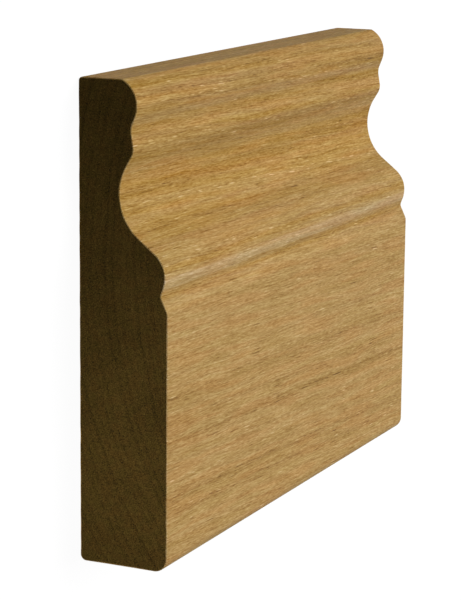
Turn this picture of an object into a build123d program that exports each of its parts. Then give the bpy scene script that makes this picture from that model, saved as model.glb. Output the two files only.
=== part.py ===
from build123d import *
from dataclasses import dataclass, replace
from math import acos, degrees, sqrt
import os

# A short cut length of solid oak architrave, all one piece of moulded stock.
# It lies on its flat back: X runs along the grain, Y across the width and Z through the
# thickness. The square thick edge is on the -Y side and the moulded thin edge on the +Y side.
# The origin is in the middle of the back.

# overall sizes, mm
length = 130.0
width = 100.0
thickness = 20.0

# small rounds on the long corners
thick_edge_front_round = 3.0
thick_edge_back_round = 1.2
thin_edge_back_round = 0.8

# The moulding is a row of rounds that crest and dip in turn: shoulder, quirk, torus, cove, bead,
# fillet dip and nose. A step is the distance across the width from one crest or dip to the next,
# so the moulding keeps its shape when the flat face gets wider.
shoulder_to_quirk_step = 3.95
quirk_to_torus_step = 3.7
torus_to_cove_step = 16.3
cove_to_bead_step = 9.1
bead_to_dip_step = 3.45
dip_to_nose_step = 5.1

# how far each crest or dip lies above or below the one before it, from the flat face on
quirk_fall = 1.45
torus_rise = 0.9
cove_fall = 10.2
bead_rise = 3.1
dip_fall = 0.5
nose_rise = 1.3

# the radius that each round is cut to
shoulder_radius = 2.65
quirk_radius = 1.25
torus_radius = 6.1
cove_radius = 11.0
bead_radius = 3.3
dip_radius = 4.0
nose_radius = 5.7

# the square thin edge takes this much off the side of the nose, which leaves a crisp arris
nose_planed_off = 0.5

# where a round fills the room beside its neighbour, the straight flank between them is this long
shortest_flank = 0.2


@dataclass
class Round:
    """One crest or dip, by the point where its arc is highest or lowest."""

    across: float
    height: float
    radius: float
    side: int  # 1 for a crest, with its centre below, and -1 for a dip, with its centre above

    @property
    def reach(self):
        return self.side * self.radius

    @property
    def centre(self):
        return Vector(self.across, self.height - self.reach)


def moulding_rounds():
    """The rounds in order, from the shoulder, here at 0 across, to the nose at the thin edge."""
    quirk = shoulder_to_quirk_step
    torus = quirk + quirk_to_torus_step
    cove = torus + torus_to_cove_step
    bead = cove + cove_to_bead_step
    dip = bead + bead_to_dip_step
    nose = dip + dip_to_nose_step

    quirk_height = thickness - quirk_fall
    torus_height = quirk_height + torus_rise
    cove_height = torus_height - cove_fall
    bead_height = cove_height + bead_rise
    dip_height = bead_height - dip_fall
    nose_height = dip_height + nose_rise

    return [
        Round(0, thickness, shoulder_radius, 1),
        Round(quirk, quirk_height, quirk_radius, -1),
        Round(torus, torus_height, torus_radius, 1),
        Round(cove, cove_height, cove_radius, -1),
        Round(bead, bead_height, bead_radius, 1),
        Round(dip, dip_height, dip_radius, -1),
        Round(nose, nose_height, nose_radius, 1),
    ]


def share_of_room(first, second):
    """How much of their radii two neighbours keep with the shortest flank between them."""
    step = second.across - first.across
    drop = abs(second.height - first.height)
    room = step**2 + drop**2 - shortest_flank**2
    needed = 2 * drop * (first.radius + second.radius)
    return min(needed, room) / needed


def limited_by_walls(rounds):
    """The same rounds, with a radius cut back, as a fillet is, where its neighbour is too near."""
    shares = [share_of_room(first, second) for first, second in zip(rounds, rounds[1:])]
    return [
        replace(one, radius=one.radius * min(before, after))
        for one, before, after in zip(rounds, [1.0] + shares, shares + [1.0])
    ]


def set_against_thin_edge(rounds):
    """The same rounds, moved across so that the nose stands out past the thin edge to be planed."""
    nose = rounds[-1]
    move = width + nose_planed_off - nose.radius - nose.across
    return [replace(one, across=one.across + move) for one in rounds]


def flank(first, second):
    """Both ends of the straight flank that touches two neighbouring rounds."""
    between = second.centre - first.centre
    turn = degrees(acos((first.reach - second.reach) / between.length))
    outward = between.normalized().rotate(Axis.Z, turn)
    return first.centre + outward * first.reach, second.centre + outward * second.reach


def sharp_corner(sketch, across, height):
    return sketch.vertices().sort_by_distance((across, height, 0))[0]


def section():
    """The whole section, with the thick edge at 0 across and the flat back at 0 height."""
    rounds = set_against_thin_edge(limited_by_walls(moulding_rounds()))
    nose = rounds[-1]
    face_end = (rounds[0].across, thickness)
    arris_rise = sqrt(nose.radius**2 - (width - nose.across) ** 2)
    arris = (width, nose.centre.Y + arris_rise)

    with BuildSketch() as drawn:
        with BuildLine():
            Polyline(arris, (width, 0), (0, 0), (0, thickness), face_end)
            arc_start = face_end
            for first, second in zip(rounds, rounds[1:]):
                flank_start, flank_end = flank(first, second)
                RadiusArc(arc_start, flank_start, first.reach)
                Line(flank_start, flank_end)
                arc_start = flank_end
            RadiusArc(arc_start, arris, nose.reach)
        make_face()
        fillet(sharp_corner(drawn, 0, thickness), thick_edge_front_round)
        fillet(sharp_corner(drawn, 0, 0), thick_edge_back_round)
        fillet(sharp_corner(drawn, width, 0), thin_edge_back_round)
    return drawn.sketch


def architrave():
    """The section, centred over the origin, carried half the length to each side."""
    return extrude(Plane.YZ * Pos(-width / 2, 0) * section(), amount=length / 2, both=True)


os.makedirs("parts", exist_ok=True)
export_step(architrave(), "parts/architrave.step")
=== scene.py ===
import bpy
import math
import numpy as np
from mathutils import Matrix, Vector


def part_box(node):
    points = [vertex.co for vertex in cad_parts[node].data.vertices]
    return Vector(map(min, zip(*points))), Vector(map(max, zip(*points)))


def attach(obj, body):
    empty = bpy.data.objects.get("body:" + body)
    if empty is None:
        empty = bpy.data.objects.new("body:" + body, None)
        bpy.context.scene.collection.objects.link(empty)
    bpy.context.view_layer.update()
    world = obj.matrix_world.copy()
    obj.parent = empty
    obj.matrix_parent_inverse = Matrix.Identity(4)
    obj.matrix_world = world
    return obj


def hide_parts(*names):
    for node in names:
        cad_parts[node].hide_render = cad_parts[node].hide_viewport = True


# A short cut length of oak architrave. It lies on its flat back: X runs along the grain, Y across
# the width to the moulded thin edge, and Z up from the back. Sizes are in mm unless a note says
# otherwise, and a mesh gets them in metres.

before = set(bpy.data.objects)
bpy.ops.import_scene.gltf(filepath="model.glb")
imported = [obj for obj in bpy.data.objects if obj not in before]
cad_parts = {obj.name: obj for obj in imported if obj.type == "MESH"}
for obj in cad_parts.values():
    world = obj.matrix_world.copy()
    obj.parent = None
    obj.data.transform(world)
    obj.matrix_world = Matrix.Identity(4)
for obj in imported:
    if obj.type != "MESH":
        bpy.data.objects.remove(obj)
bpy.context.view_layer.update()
print("frame loaded:", sorted(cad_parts))

mm = 0.001


# shared helpers

def sRgb(hexColour):
    # sRGB hex to linear: v / 12.92 below 0.04045, else ((v + 0.055) / 1.055) to the power 2.4
    v = np.array([int(hexColour[i:i + 2], 16) for i in (1, 3, 5)]) / 255
    linear = np.where(v <= 0.04045, v / 12.92, ((v + 0.055) / 1.055) ** 2.4)
    return (*linear, 1.0)


def addNode(tree, kind, inputs=None, stops=(), **settings):
    # one node: its settings by name, each input linked or given its value, and a ramp's stops
    node = tree.nodes.new("ShaderNode" + kind)
    for name, value in settings.items():
        setattr(node, name, value)
    for name, value in (inputs or {}).items():
        if isinstance(value, bpy.types.Node):
            value = value.outputs[0]
        if isinstance(value, bpy.types.NodeSocket):
            tree.links.new(value, node.inputs[name])
        else:
            node.inputs[name].default_value = value
    for index, (position, hexColour) in enumerate(stops):
        elements = node.color_ramp.elements
        element = elements[index] if index < 2 else elements.new(position)
        element.position = position
        element.color = sRgb(hexColour)
    return node


def newMaterial(name):
    # a material whose node tree is still empty
    material = bpy.data.materials.new(name)
    material.use_nodes = True
    material.node_tree.nodes.clear()
    return material


def meshFromGrids(name, points, quads, materialIndex):
    # vertices and quads go in as whole arrays
    mesh = bpy.data.meshes.new(name)
    mesh.vertices.add(len(points))
    mesh.vertices.foreach_set("co", points.astype(np.float32).ravel())
    mesh.loops.add(quads.size)
    mesh.loops.foreach_set("vertex_index", quads.astype(np.int32).ravel())
    mesh.polygons.add(len(quads))
    mesh.polygons.foreach_set("loop_start", np.arange(0, quads.size, 4, dtype=np.int32))
    mesh.polygons.foreach_set("material_index", materialIndex.astype(np.int32))
    mesh.update(calc_edges=True)
    mesh.validate()
    piece = bpy.data.objects.new(name, mesh)
    bpy.context.scene.collection.objects.link(piece)
    return piece


# the architrave, one length of moulded oak

low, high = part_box("architrave")
architrave = {
    "length": (high.x - low.x) / mm,
    "width": (high.y - low.y) / mm,
    "thickness": (high.z - low.z) / mm,
    "thickEdgeFrontRound": 3.0,
    "thickEdgeBackRound": 1.2,
    "thinEdgeBackRound": 0.8,
    "nosePlanedOff": 0.5,      # the thin edge planes this much off the side of the nose
    "endArris": 0.22,          # the sawn ends' edges are rubbed to about this radius,
    "endArrisUnevenness": 0.08,    # give or take this,
    "arrisWaves": 60,          # in at most this many waves round the section
    "arrisSteps": 4,
    "endMargin": 1.0,          # the even rows of points along the piece stop this far from its ends
    "pointsAlong": 60,
    "pointsAcross": 330,
    "pointsThrough": 26,
    "columnStep": 0.01,        # the columns of a sawn end come no nearer to each other than this
    "turnPull": 1.2,           # across, a radian of turn gets as many points as this many mm
    "roundPoints": 48,
    "backRoundPoints": 16,
    "seed": 7,
    # from the flat face to the nose: mm across and up from the one before, radius, and 1 for a
    # crest or -1 for a dip
    "rounds": {
        "shoulder": (0, 0, 2.65, 1),
        "quirk": (3.95, -1.45, 1.25, -1),
        "torus": (3.7, 0.9, 6.1, 1),
        "cove": (16.3, -10.2, 11.0, -1),
        "bead": (9.1, 3.1, 3.3, 1),
        "dip": (3.45, -0.5, 4.0, -1),
        "nose": (5.1, 1.3, 5.7, 1),
    },
}


def arcPoints(centre, radius, fromAngle, toAngle, count):
    # centre + radius * (cos a, sin a), with a running evenly from one angle to the other
    a = np.linspace(fromAngle, toAngle, count)
    return centre + radius * np.stack([np.cos(a), np.sin(a)], 1)


def mouldedFace(sizes):
    # the face line from the thick edge to the arris, as (across, up): each round is an arc, and
    # the straight flank between two rounds is the line that touches both circles
    step, rise, radius, side = np.array(list(sizes["rounds"].values()), float).T
    across = np.cumsum(step)
    across += sizes["width"] + sizes["nosePlanedOff"] - radius[-1] - across[-1]
    up = sizes["thickness"] + np.cumsum(rise)
    reach = side * radius
    centre = np.stack([across, up - reach], 1)
    between = np.diff(centre, axis=0)
    apart = np.hypot(*between.T)
    heading = np.arctan2(between[:, 1], between[:, 0])
    outward = heading + np.arccos((reach[:-1] - reach[1:]) / apart)
    arrisAngle = math.acos((sizes["width"] - across[-1]) / radius[-1])
    # an arc meets its flank at the flank's outward angle, half a turn on in a dip
    halfTurn = np.where(side < 0, -math.pi, 0)
    start = np.concatenate([[math.pi / 2], outward + halfTurn[1:]])
    end = np.concatenate([outward + halfTurn[:-1], [arrisAngle]])
    count = sizes["roundPoints"]
    corner = sizes["thickEdgeFrontRound"]
    cornerCentre = np.array([corner, sizes["thickness"] - corner])
    pieces = [arcPoints(cornerCentre, corner, math.pi, math.pi / 2, count)]
    pieces += [arcPoints(c, r, a, b, count) for c, r, a, b in zip(centre, radius, start, end)]
    return np.concatenate(pieces)


def flatBack(sizes):
    # the back line from the thick edge to the thin edge: a small arc, a straight run, a small arc
    count = sizes["backRoundPoints"]
    thick = sizes["thickEdgeBackRound"]
    thin = sizes["thinEdgeBackRound"]
    first = arcPoints(np.array([thick, thick]), thick, -math.pi, -math.pi / 2, count)
    last = arcPoints(np.array([sizes["width"] - thin, thin]), thin, -math.pi / 2, 0, count)
    return np.concatenate([first, last])


def spacedAlong(line, count, pull):
    # count points along a line: the spacing follows its length, plus pull mm for each radian it
    # turns, and points that lie on the one before are left out first
    tiny = 1e-9
    run = np.hypot(*np.diff(line, axis=0).T)
    line = line[np.r_[True, run > tiny]]
    step = np.diff(line, axis=0)
    heading = np.unwrap(np.arctan2(step[:, 1], step[:, 0]))
    turn = np.r_[np.abs(np.diff(heading)), 0]
    measure = np.r_[0, np.cumsum(np.hypot(*step.T) + pull * turn)]
    at = np.linspace(0, measure[-1], count)
    return np.stack([np.interp(at, measure, line[:, 0]), np.interp(at, measure, line[:, 1])], 1)


def outwardOffsets(loop):
    # for a closed loop of points, the move that sets every side back by 1: the sum of the two
    # neighbouring unit normals, divided by 1 plus their product, so that a sharp corner stays sharp
    side = np.roll(loop, -1, axis=0) - loop
    normal = np.stack([side[:, 1], -side[:, 0]], 1) / np.hypot(*side.T)[:, None]
    before = np.roll(normal, 1, axis=0)
    return (normal + before) / (1 + (normal * before).sum(1))[:, None]


def smoothNoise(count, waves, generator):
    # a closed run of values from -1 to 1: a few sine waves of random height and start
    turn = np.linspace(0, 2 * math.pi, count, endpoint=False)
    order = np.arange(1, waves + 1)[:, None]
    height = generator.normal(size=(waves, 1))
    start = generator.uniform(0, 2 * math.pi, (waves, 1))
    value = (height * np.sin(order * turn + start)).sum(0)
    return value / np.abs(value).max()


def makeArchitrave(sizes):
    # the section is a patch of columns from the back to the face, and its edge is a loop;
    # the loop is carried along the length, drawn in by a quarter round at both ends, and the
    # patch closes each end
    generator = np.random.default_rng(sizes["seed"])
    columns = sizes["pointsAcross"]
    levels = sizes["pointsThrough"]
    patchSize = columns * levels
    face = spacedAlong(mouldedFace(sizes), columns, sizes["turnPull"])
    back = spacedAlong(flatBack(sizes), columns, sizes["turnPull"])
    grid = np.arange(patchSize).reshape(columns, levels)   # index of a patch point: across, then up
    rim = np.concatenate([grid[:-1, 0], grid[-1, :-1], grid[:0:-1, -1], grid[0, :0:-1]])
    v = np.linspace(0, 1, levels)[None, :, None]
    patch = (back[:, None] * (1 - v) + face[:, None] * v).reshape(-1, 2)
    loop = patch[rim]
    offset = outwardOffsets(loop)

    def sawnEnd(x, arris):
        # the loop drawn in by its arris, with the columns between, all at one x. The uneven
        # arris would fold the first and last few columns, so they keep columnStep apart
        shrunk = np.zeros((patchSize, 2))
        shrunk[rim] = loop - offset * arris[:, None]
        shrunk = shrunk.reshape(columns, levels, 2)
        between = shrunk[1:-1, :1] * (1 - v) + shrunk[1:-1, -1:] * v
        shrunk[1:-1, 1:-1] = between[:, 1:-1]
        apart = sizes["columnStep"] * np.arange(1, columns - 1)[:, None]
        lowest = shrunk[:1, 1:-1, 0] + apart
        highest = shrunk[-1:, 1:-1, 0] - apart[::-1]
        shrunk[1:-1, 1:-1, 0] = np.clip(shrunk[1:-1, 1:-1, 0], lowest, highest)
        return np.concatenate([np.full((patchSize, 1), x), shrunk.reshape(-1, 2)], 1)

    def unevenArris():
        # endArris + endArrisUnevenness * smooth noise, for each point of the rim
        noise = smoothNoise(len(rim), sizes["arrisWaves"], generator)
        return sizes["endArris"] + sizes["endArrisUnevenness"] * noise

    # a ring at angle a of the quarter round lies arris * (1 - cos a) from the end and is drawn in
    # by arris * (1 - sin a)
    half = sizes["length"] / 2
    quarter = np.linspace(0, math.pi / 2, sizes["arrisSteps"] + 1)[1:, None]
    nearArris = unevenArris()
    farArris = unevenArris()
    nearX = -half + nearArris * (1 - np.cos(quarter))
    nearIn = nearArris * (1 - np.sin(quarter))
    farX = half - farArris * (1 - np.cos(quarter))
    farIn = farArris * (1 - np.sin(quarter))
    plain = half - sizes["endMargin"]
    bodyX = np.repeat(np.linspace(-plain, plain, sizes["pointsAlong"])[:, None], len(rim), axis=1)
    ringX = np.concatenate([nearX, bodyX, farX[::-1]])
    ringIn = np.concatenate([nearIn, np.zeros_like(bodyX), farIn[::-1]])
    section = loop[None] - offset[None] * ringIn[..., None]
    rings = np.concatenate([ringX[..., None], section], 2)

    # both ends' patches come first, then the rings; an end's own rim closes the rings there
    points = np.concatenate([sawnEnd(-half, nearArris), sawnEnd(half, farArris),
                             rings.reshape(-1, 3)])
    points[:, 1] -= sizes["width"] / 2
    ringPoints = 2 * patchSize + np.arange(rings.shape[0] * len(rim))
    ringIndex = np.concatenate([
        rim[None],
        ringPoints.reshape(rings.shape[0], -1),
        rim[None] + patchSize,
    ])
    nextRing = np.roll(ringIndex, -1, axis=1)
    sideQuads = np.stack([ringIndex[:-1], nextRing[:-1], nextRing[1:], ringIndex[1:]], -1)
    cell = np.stack([grid[:-1, :-1], grid[1:, :-1], grid[1:, 1:], grid[:-1, 1:]], -1).reshape(-1, 4)
    quads = np.concatenate([cell[:, ::-1], cell + patchSize, sideQuads.reshape(-1, 4)])
    sawn = np.arange(len(quads)) < 2 * len(cell)
    piece = meshFromGrids("oak_architrave", points * mm, quads, sawn.astype(int))
    # the long faces shade smoothly, up to the line where the flat sawn ends start
    piece.data.polygons.foreach_set("use_smooth", ~sawn)
    print("architrave:", len(points), "points,", 2 * len(quads), "triangles")
    return piece


# oak: planed and moulded on the long faces, sawn across on the ends

# where a span has two numbers, they are mm along the grain and mm across it
oak = {
    "faceHeight": architrave["thickness"],
    "halfLength": architrave["length"] / 2,
    "grainSlope": 0.040,       # mm that the grain runs off to the thick edge for each mm along
    "grainFan": -0.0003,       # and how much that changes for each mm across
    "wander": 1.4,             # mm that a fibre strays sideways on its way,
    "wanderSpan": (26, 6),     # in waves of this size
    "layersApart": (2.3, 4.1, 1.9),    # a step in the noise from each layer of streaks to the next
    "pithAcross": 12.0,        # the heart of the tree, mm from the middle of the width
    "pithUp": 114.1,           # and above the back, so the rings lie nearly flat under the face
    "ringWidth": 1.65,
    "ringSeed": 260,           # the run of strong and weak rings that the face shows
    "weakestRing": 0.1,        # as a share of the strongest
    "ringBend": 1.6,           # mm that slow noise moves a ring in or out
    "ringFray": 0.8,           # mm that the strands fray its edges
    "ringRow": 0.5,            # a ring's row of open vessels, as a share of a row that is placed
    "stripEdge": 0.35,         # mm that a strip of the moulding fades in
    "stripFray": 1.2,          # mm that the strands fray it
    "cutterReach": 7.0,        # mm above the back, under the cove's floor
    "cutterFade": 1.0,         # mm that the strips fade in below it
    "poreSpan": (11.0, 0.62),      # one open vessel to a cell of this size
    "poreSize": (0.14, 0.27),      # its core and its rim, as a share of that: vessels of 0.2 to
                                   # 0.3 mm across
    "fleckSpan": (4.5, 0.45),
    "fleckSize": (0.18, 0.42),
    "cellsAt": (1.1, 5.3),     # where the cells start, along and across
    "swingSpan": (90, 1.5),    # the streaks that are more or less golden
    "patchSpan": (24, 2.2),    # the rosy and olive patches,
    "patchEdges": (0.38, 0.62),    # and the noise where they are full
    "faceSkin": 0.6,           # mm under the flat face that still count as the face
    "rubbedAndLitArris": (0.45, 0.225),   # mm from the end where the paler arris, worn and with a painted highlight, starts and where it is full
    "roughnessSwing": 0.15,
    "ior": 1.5,
    "seed": 3.0,
    "colourSeed": 12.0,
    # the layers of streaks, finest first. A real fibre is about 0.02 mm across, too fine to show,
    # so the finest are drawn as bundles of them
    "streaks": {
        "fibre": (1.7, 0.24),
        "line": (9.0, 0.28),
        "strand": (26.0, 0.55),
        "band": (120.0, 1.7),
        "cloud": (150.0, 11.0),
    },
    # how open a ring's wood is, from its first early wood at 0 to its last late wood at 1, and
    # where its row of large vessels lies
    "openWood": ((0.0, "#000000"), (0.15, "#FFFFFF"), (0.40, "#BBBBBB"), (0.75, "#222222"),
                 (1.0, "#000000")),
    "vesselRow": ((0.0, "#000000"), (0.04, "#FFFFFF"), (0.16, "#FFFFFF"), (0.24, "#000000")),
}


def perSpan(span):
    # the scale that gives a pattern one wave to each span: 1 / mm
    along, across = span
    return 1 / along, 1 / across, 1 / across


def placeInWood(tree, grain):
    # the point in mm. The grain runs off to one side: straight is y + x * (slope + fan * y).
    # The fibres wander sideways as well: fibres is straight + wander * (noise - 0.5)
    place = addNode(tree, "TexCoord").outputs["Object"]
    place = addNode(tree, "Mapping", {"Vector": place, "Scale": (1 / mm,) * 3})
    x, y, z = addNode(tree, "SeparateXYZ", {0: place}).outputs
    slope = addNode(tree, "Math", {0: y, 1: grain["grainFan"], 2: grain["grainSlope"]},
                    operation="MULTIPLY_ADD")
    sheared = addNode(tree, "Math", {0: x, 1: slope, 2: y}, operation="MULTIPLY_ADD")
    straight = addNode(tree, "CombineXYZ", {0: x, 1: sheared, 2: z})
    drift = addNode(tree, "Mapping", {"Vector": straight, "Scale": perSpan(grain["wanderSpan"])})
    drift = addNode(tree, "TexNoise", {"Vector": drift, "Scale": 1.0, "Detail": 1.0})
    drift = addNode(tree, "VectorMath", {0: drift.outputs["Color"], 1: (0.5, 0.5, 0.5)},
                    operation="SUBTRACT")
    sideways = (0, grain["wander"], grain["wander"])
    fibres = addNode(tree, "VectorMath", {0: drift, 1: sideways, 2: straight},
                     operation="MULTIPLY_ADD")
    return {"x": x, "y": y, "z": z, "sheared": sheared, "straight": straight, "fibres": fibres}


def streakTone(tree, fibres, grain, weights):
    # the noise of every layer, and their tone: 0.5 + the sum of weight * (noise - 0.5)
    tone = 0.5 - 0.5 * sum(weights.values())
    seen = {}
    for index, (layer, span) in enumerate(grain["streaks"].items()):
        shift = [step * index for step in grain["layersApart"]]
        at = addNode(tree, "Mapping", {
            "Vector": fibres, "Scale": perSpan(span),
            "Location": (shift[0], shift[1], grain["seed"] + shift[2])})
        seen[layer] = addNode(tree, "TexNoise", {
            "Vector": at, "Scale": 1.0, "Detail": 1.0, "Roughness": 0.5})
        tone = addNode(tree, "Math", {0: seen[layer], 1: weights[layer], 2: tone},
                       operation="MULTIPLY_ADD")
    return seen, tone


def growthRings(tree, straight, seen, grain):
    # the distance from the pith, bent and frayed by noise, over the ring width: its fraction is
    # the season, and its whole number picks the ring's strength. The two results are the open
    # wood and the row of vessels, each as its ramp gives it for the season, * that strength
    radial = addNode(tree, "Mapping", {
        "Vector": straight, "Location": (0, -grain["pithAcross"], -grain["pithUp"]),
        "Scale": (0, 1, 1)})
    distance = addNode(tree, "VectorMath", {0: radial}, operation="LENGTH").outputs["Value"]
    for layer, reach in (("cloud", grain["ringBend"]), ("strand", grain["ringFray"])):
        distance = addNode(tree, "Math", {0: seen[layer], 1: reach, 2: distance},
                           operation="MULTIPLY_ADD")
    rings = addNode(tree, "Math", {0: distance, 1: grain["ringWidth"]}, operation="DIVIDE")
    season = addNode(tree, "Math", {0: rings}, operation="FRACT")
    number = addNode(tree, "Math", {0: rings}, operation="FLOOR")
    number = addNode(tree, "Math", {0: number, 1: grain["ringSeed"]}, operation="ADD")
    strength = addNode(tree, "TexWhiteNoise", {"W": number}, noise_dimensions="1D")
    strength = addNode(tree, "MapRange", {"Value": strength, "To Min": grain["weakestRing"]})
    early = addNode(tree, "ValToRGB", {0: season}, stops=grain["openWood"])
    early = addNode(tree, "Math", {0: early, 1: strength}, operation="MULTIPLY")
    row = addNode(tree, "ValToRGB", {0: season}, stops=grain["vesselRow"])
    row = addNode(tree, "Math", {0: row, 1: strength}, operation="MULTIPLY")
    return early, row


def frayedDistance(tree, across, strand, fray, middle):
    # how far a point is from a line along the piece: |across + fray * (strand - 0.5) - middle|
    off = addNode(tree, "Math", {0: strand, 1: fray, 2: across}, operation="MULTIPLY_ADD")
    off = addNode(tree, "Math", {0: off, 1: middle + 0.5 * fray}, operation="SUBTRACT")
    return addNode(tree, "Math", {0: off}, operation="ABSOLUTE")


def spotsInCells(tree, kind, where, fibres, grain, look):
    # long thin cells, each with a spot that falls from 1 in its core to 0 at its rim. A cell has
    # its spot where its lot is under the share wanted: share + shareEarly * where
    at = addNode(tree, "Mapping", {
        "Vector": fibres, "Scale": perSpan(grain[kind + "Span"]),
        "Location": (*grain["cellsAt"], grain["seed"])})
    cells = addNode(tree, "TexVoronoi", {"Vector": at, "Scale": 1.0})
    lot = addNode(tree, "SeparateColor", {0: cells.outputs["Color"]})
    wanted = addNode(tree, "Math", {
        0: where, 1: look[kind + "ShareEarly"], 2: look[kind + "Share"]}, operation="MULTIPLY_ADD")
    wanted = addNode(tree, "Math", {0: lot, 1: wanted}, operation="LESS_THAN")
    core, rim = grain[kind + "Size"]
    spot = addNode(tree, "MapRange", {
        "Value": cells.outputs["Distance"], "From Min": core, "From Max": rim,
        "To Min": 1.0, "To Max": 0.0})
    return addNode(tree, "Math", {0: spot, 1: wanted}, operation="MULTIPLY")


def goldenness(tree, place, grain, look):
    # the saturation: 1 + gold * depth under the face / the face height + swing * (noise - 0.5),
    # where the swing is weak on the flat face and full where the cutter went in. The greyer wood
    # towards the face is painted sheen, a faint whitish reflection laid on as colour
    depth = addNode(tree, "MapRange", {
        "Value": place["z"], "From Min": 0.0, "From Max": grain["faceHeight"],
        "To Min": 1 + look["gold"], "To Max": 1.0})
    at = addNode(tree, "Mapping", {
        "Vector": place["fibres"], "Scale": perSpan(grain["swingSpan"]),
        "Location": (0, 0, grain["colourSeed"])})
    swing = addNode(tree, "TexNoise", {
        "Vector": at, "Scale": 1.0, "Detail": 2.0, "Roughness": 0.5})
    swing = addNode(tree, "Math", {0: swing, 1: 0.5}, operation="SUBTRACT")
    reach = addNode(tree, "MapRange", {
        "Value": place["z"], "From Min": grain["faceHeight"] - grain["faceSkin"],
        "From Max": grain["faceHeight"], "To Min": look["swing"], "To Max": look["faceSwing"]})
    return addNode(tree, "Math", {0: swing, 1: reach, 2: depth}, operation="MULTIPLY_ADD")


def oakSurface(name, grain, look):
    # A solid pattern in Object coordinates: the tone of the wood is a sum of streaks, growth rings,
    # dark vessels, pale flecks with painted glints, the moulding's strips of wood bands with
    # painted shade and painted sheen, and a painted highlight on the ends' arris; a ramp turns the
    # tone into the colour, and the colour's saturation says how golden it is, with the face greyed
    # as painted sheen
    material = newMaterial(name)
    tree = material.node_tree
    place = placeInWood(tree, grain)
    fibres = place["fibres"]
    seen, tone = streakTone(tree, fibres, grain, look["weights"])
    fray = grain["stripFray"]
    edge = grain["stripEdge"]

    # tone - ringDepth * how open the ring is there
    early, row = growthRings(tree, place["straight"], seen, grain)
    tone = addNode(tree, "Math", {0: early, 1: -look["ringDepth"], 2: tone},
                   operation="MULTIPLY_ADD")

    # rows of open vessels cut lengthwise show as lines of pale dashes, partly the wood's pale
    # flecks and partly painted glints where light catches the open vessels, where a strong ring
    # starts and on the rows that are placed: the larger of the two counts
    row = addNode(tree, "Math", {0: row, 1: grain["ringRow"]}, operation="MULTIPLY")
    for middle, half in look["rows"].values():
        off = frayedDistance(tree, place["sheared"], seen["strand"], fray, middle)
        placed = addNode(tree, "MapRange", {
            "Value": off, "From Min": half, "From Max": half + edge, "To Min": 1.0, "To Max": 0.0})
        row = addNode(tree, "Math", {0: row, 1: placed}, operation="MAXIMUM")

    # tone + spot * the spot's own tone
    spots = {}
    for kind, where in (("pore", early), ("fleck", row)):
        spots[kind] = spotsInCells(tree, kind, where, fibres, grain, look)
        tone = addNode(tree, "Math", {0: spots[kind], 1: look[kind + "Tone"], 2: tone},
                       operation="MULTIPLY_ADD")

    # strips that run with the moulding, only above the height that the cutter reached: each is a
    # smooth step of the distance from its middle, and shifts the tone and how golden it is. They
    # hold the wood's own bands together with painted shade and painted sheen along the rounds
    golden = goldenness(tree, place, grain, look)
    moulded = addNode(tree, "MapRange", {
        "Value": place["z"], "From Min": grain["cutterReach"] - grain["cutterFade"],
        "From Max": grain["cutterReach"]})
    for middle, half, paler, goldener in look["strips"].values():
        off = frayedDistance(tree, place["y"], seen["strand"], fray, middle)
        strip = addNode(tree, "MapRange", {
            "Value": off, "From Min": half - edge, "From Max": half + edge,
            "To Min": 1.0, "To Max": 0.0}, interpolation_type="SMOOTHSTEP")
        strip = addNode(tree, "Math", {0: strip, 1: moulded}, operation="MULTIPLY")
        tone = addNode(tree, "Math", {0: strip, 1: paler, 2: tone}, operation="MULTIPLY_ADD")
        golden = addNode(tree, "Math", {0: strip, 1: goldener, 2: golden},
                         operation="MULTIPLY_ADD")

    # the arris of the sawn ends is a little paler, partly worn by rubbing and partly a painted
    # highlight where the arris catches the light: tone + the arris tone * the line noise, which
    # fades in over the last bit of the length
    endward = addNode(tree, "Math", {0: place["x"]}, operation="ABSOLUTE")
    start, full = grain["rubbedAndLitArris"]
    rubbedAndLitArris = addNode(tree, "MapRange", {
        "Value": endward, "From Min": grain["halfLength"] - start,
        "From Max": grain["halfLength"] - full, "To Max": look["rubbedAndLitTone"]})
    rubbedAndLitArris = addNode(tree, "Math", {0: rubbedAndLitArris, 1: seen["line"]}, operation="MULTIPLY")
    tone = addNode(tree, "Math", {0: tone, 1: rubbedAndLitArris}, operation="ADD")

    # the tone's colour, as golden as that, times small rosy and olive patches
    wood = addNode(tree, "ValToRGB", {0: tone}, stops=look["tones"])
    wood = addNode(tree, "HueSaturation", {"Color": wood, "Saturation": golden})
    at = addNode(tree, "Mapping", {
        "Vector": fibres, "Scale": perSpan(grain["patchSpan"]),
        "Location": (0, 0, grain["colourSeed"])})
    patch = addNode(tree, "TexNoise", {"Vector": at, "Scale": 1.0, "Detail": 1.0})
    oliveEdge, rosyEdge = grain["patchEdges"]
    tint = addNode(tree, "ValToRGB", {0: patch}, stops=(
        (oliveEdge, look["olive"]), (0.5, "#FFFFFF"), (rosyEdge, look["rosy"])))
    # a colour Mix has its factor at input 0, its colours at 6 and 7 and its result at output 2
    colour = addNode(tree, "Mix", {0: 1.0, 6: wood, 7: tint}, data_type="RGBA",
                     blend_type="MULTIPLY").outputs[2]

    # relief: the fibres stand up a little and the vessels are open grooves
    height = addNode(tree, "Math", {0: spots["pore"], 1: -look["poreRelief"], 2: seen["fibre"]},
                     operation="MULTIPLY_ADD")
    bump = addNode(tree, "Bump", {
        "Height": height, "Distance": look["relief"] * mm, "Strength": 1.0})
    swing = grain["roughnessSwing"]
    rough = addNode(tree, "Math", {
        0: seen["fibre"], 1: swing, 2: look["roughness"] - 0.5 * swing}, operation="MULTIPLY_ADD")
    shader = addNode(tree, "BsdfPrincipled", {
        "Base Color": colour, "Roughness": rough, "IOR": grain["ior"],
        "Specular IOR Level": look["specular"], "Normal": bump})
    addNode(tree, "OutputMaterial", {"Surface": shader})
    return material


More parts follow.
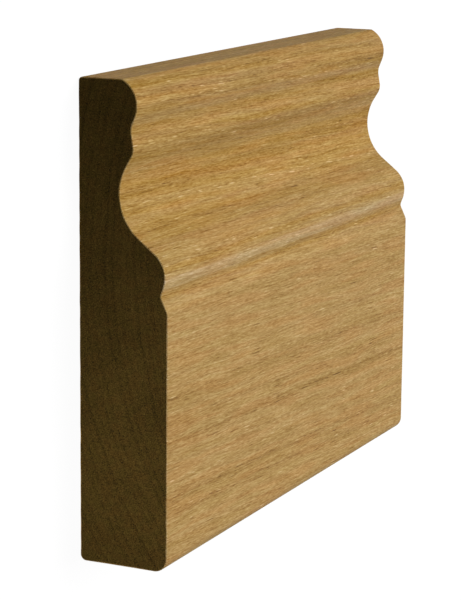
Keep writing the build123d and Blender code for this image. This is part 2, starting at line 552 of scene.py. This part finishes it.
# planed oak under a thin clear lacquer: honey gold, with so little gloss that the rounds show by
# shade alone
planedOakLook = {
    "tones": ((0.0, "#72522B"), (0.25, "#9A753E"), (0.5, "#B28F57"), (0.75, "#C6A66E"),
              (1.0, "#E0C396")),
    "weights": {"fibre": 0.82, "line": 0.68, "strand": 0.16, "band": 0.2, "cloud": 0.08},
    "olive": "#F9FAF4",
    "rosy": "#FFF8F3",
    "gold": 0.12,              # how much more golden the wood is at the back than at the face; the greyer face is painted sheen
    "swing": 0.20,
    "faceSwing": 0.07,
    # how much paler the ends' arris is: wear and a painted highlight
    "rubbedAndLitTone": 0.3,
    "ringDepth": 0.19,
    "poreShare": 0.08,
    "poreShareEarly": 0.4,
    "poreTone": -0.26,
    "poreRelief": 1.0,
    "fleckShare": 0.006,
    "fleckShareEarly": 0.9,
    "fleckTone": 0.36,
    # lines of pale dashes, painted glints of light on the open vessels: mm across from the middle
    # of the width, half width
    "rows": {
        "nose": (43.8, 0.25),
        "bead": (35.1, 0.25),
        "cove": (22.2, 0.2),
        "torus": (12.5, 0.2),
    },
    # mm across from the middle of the width, half width, how much paler, how much more golden; wood
    # bands mixed with painted shade and painted sheen
    "strips": {
        "noseUpper": (47.0, 1.0, -0.04, 0.0),
        "noseCrest": (44.2, 0.7, -0.12, -0.02),
        # greyer under the nose: a painted reflection
        "underNose": (42.0, 0.8, 0.0, -0.06),
        "dip": (39.5, 0.8, -0.08, 0.01),
        "bead": (36.6, 0.6, -0.05, 0.0),
        "underBead": (35.2, 0.8, -0.05, -0.03),
        "coveTop": (32.0, 1.4, 0.03, -0.04),
        "coveFloor": (26.9, 1.4, -0.08, 0.01),
        "aboveTorus": (15.2, 0.9, 0.06, 0.01),
        "torusCrest": (12.4, 0.6, -0.05, 0.05),
        # paler and greyer under the torus: a painted reflection
        "underTorus": (9.4, 1.2, 0.15, -0.08),
        # darker in the quirk: painted shade in the corner
        "quirk": (6.9, 0.4, -0.12, 0.04),
        "shoulder": (5.0, 0.6, 0.04, 0.01),
    },
    "relief": 0.05,
    "roughness": 0.55,
    "specular": 0.03,
}

# sawn end grain: the cut fibres take up finish and dirt, so it is deep brown and matt, and its
# tones are darker still with painted shade, as if the end faced away from the light
sawnOakLook = {
    "tones": ((0.0, "#1E1606"), (0.25, "#3E2F0E"), (0.5, "#58441B"), (0.75, "#6E5726"),
              (1.0, "#8C7138")),
    "weights": {"fibre": 1.1, "line": 0.6, "strand": 0.15, "band": 0.15, "cloud": 0.25},
    "olive": "#F8FBF2",
    "rosy": "#FFF9F5",
    "gold": 0.0,
    "swing": 0.0,
    "faceSwing": 0.0,
    "rubbedAndLitTone": 0.0,
    "ringDepth": 0.16,
    "poreShare": 0.12,
    "poreShareEarly": 0.5,
    "poreTone": -0.22,
    "poreRelief": 1.0,
    "fleckShare": 0.10,
    "fleckShareEarly": 0.2,
    "fleckTone": 0.2,
    "rows": {},
    "strips": {},
    "relief": 0.04,
    "roughness": 0.85,
    "specular": 0.08,
}

piece = makeArchitrave(architrave)
piece.data.materials.append(oakSurface("oak_planed", oak, planedOakLook))
piece.data.materials.append(oakSurface("oak_sawn_end", oak, sawnOakLook))
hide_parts("architrave")
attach(piece, "root")
print("oak: materials on")


# floor, world, lights and camera

studio = {
    "floorHalfSize": 6.0,           # m
    "floorColour": "#505050",       # what the object's underside sees; the camera sees it as white
    "floorGlow": 0.95,
    "worldLight": 0.22,
    "keyStrength": 3.02,
    "keySpread": 50.0,              # degrees across, for a soft edge to the shadow
    "keyFrom": (0.60, 0.33, 0.86),  # the way to the sun
}

# a small lamp low in front of the near end, which is lighter towards the thick edge
endLamp = {
    "place": (-127, -32, 14),
    "aim": (-65, -30, 10),
    "side": 28,
    "watts": 0.0165,
}


def seenAsBackground(tree):
    # 1 where the camera sees it, straight or in gloss or glass, and 0 where it only gives light
    path = addNode(tree, "LightPath").outputs
    seen = addNode(tree, "Math", {0: path["Is Camera Ray"], 1: path["Is Glossy Ray"]},
                   operation="MAXIMUM")
    return addNode(tree, "Math", {0: seen, 1: path["Is Transmission Ray"]}, operation="MAXIMUM")


def makeFloor(look):
    # a flat square, one quad, at the height of the back; to the camera and to gloss it glows pale,
    # and the shadow still shows because its own diffuse light is added
    h = look["floorHalfSize"]
    corners = np.array([[-h, -h, 0], [h, -h, 0], [h, h, 0], [-h, h, 0]])
    floor = meshFromGrids("studio_floor", corners, np.array([[0, 1, 2, 3]]), np.zeros(1))
    material = newMaterial("white_card")
    tree = material.node_tree
    seen = seenAsBackground(tree)
    strength = addNode(tree, "Math", {0: seen, 1: look["floorGlow"]}, operation="MULTIPLY")
    glow = addNode(tree, "Emission", {"Color": (1, 1, 1, 1), "Strength": strength})
    card = addNode(tree, "BsdfDiffuse", {"Color": sRgb(look["floorColour"])})
    both = addNode(tree, "AddShader", {0: glow, 1: card})
    addNode(tree, "OutputMaterial", {"Surface": both})
    floor.data.materials.append(material)


def makeWorld(look):
    # white where it is seen, and a plain grey fill for everything else
    world = bpy.data.worlds.new("studio_world")
    world.use_nodes = True
    tree = world.node_tree
    tree.nodes.clear()
    strength = addNode(tree, "MapRange", {
        "Value": seenAsBackground(tree), "To Min": look["worldLight"], "To Max": 1.0})
    sky = addNode(tree, "Background", {"Color": (1, 1, 1, 1), "Strength": strength})
    addNode(tree, "OutputWorld", {"Surface": sky})
    bpy.context.scene.world = world


def placeLamp(name, light, place, aim):
    # a lamp shines along its own -z, so its z points back from the aim to its place
    lamp = bpy.data.objects.new(name, light)
    lamp.location = Vector(place)
    lamp.rotation_euler = (Vector(place) - Vector(aim)).to_track_quat("Z", "Y").to_euler()
    lamp.visible_camera = False
    bpy.context.scene.collection.objects.link(lamp)


def makeLights(look, small):
    # a wide sun lights the face, and a small square lamp the near end
    sun = bpy.data.lights.new("key", "SUN")
    sun.energy = look["keyStrength"]
    sun.angle = math.radians(look["keySpread"])
    placeLamp("key", sun, look["keyFrom"], (0, 0, 0))
    area = bpy.data.lights.new("end_lamp", "AREA")
    area.size = small["side"] * mm
    area.energy = small["watts"]
    placeLamp("end_lamp", area, Vector(small["place"]) * mm, Vector(small["aim"]) * mm)


# where the camera stood, in the part's own frame, and which way it looked
camera = {
    "place": (-467.14, 99.7, 224.83),
    "looks": (0.8847, -0.2016, -0.4203),
    "up": (0.1783, 0.9794, -0.0945),
    "focalPixels": 2324.4,         # for the 461 by 600 frame
    "framePixels": 600,
    "sensor": 36.0,
    "clipStart": 0.01,             # m
    "clipEnd": 50,                 # m
}


def makeCamera(c):
    # the columns of the turn are right, up and backwards; lens = focal pixels * sensor / frame
    back = -Vector(c["looks"]).normalized()
    right = Vector(c["up"]).cross(back).normalized()
    up = back.cross(right)
    data = bpy.data.cameras.new("camera")
    data.sensor_width = c["sensor"]
    data.lens = c["focalPixels"] * c["sensor"] / c["framePixels"]
    data.clip_start = c["clipStart"]
    data.clip_end = c["clipEnd"]
    stand = bpy.data.objects.new("camera", data)
    turn = Matrix((right, up, back)).transposed().to_4x4()
    stand.matrix_world = Matrix.Translation(Vector(c["place"]) * mm) @ turn
    bpy.context.scene.collection.objects.link(stand)
    bpy.context.scene.camera = stand


makeFloor(studio)
makeWorld(studio)
makeLights(studio, endLamp)
makeCamera(camera)
bpy.context.scene.view_settings.view_transform = "Standard"
print("studio: floor, world, lights and camera set")
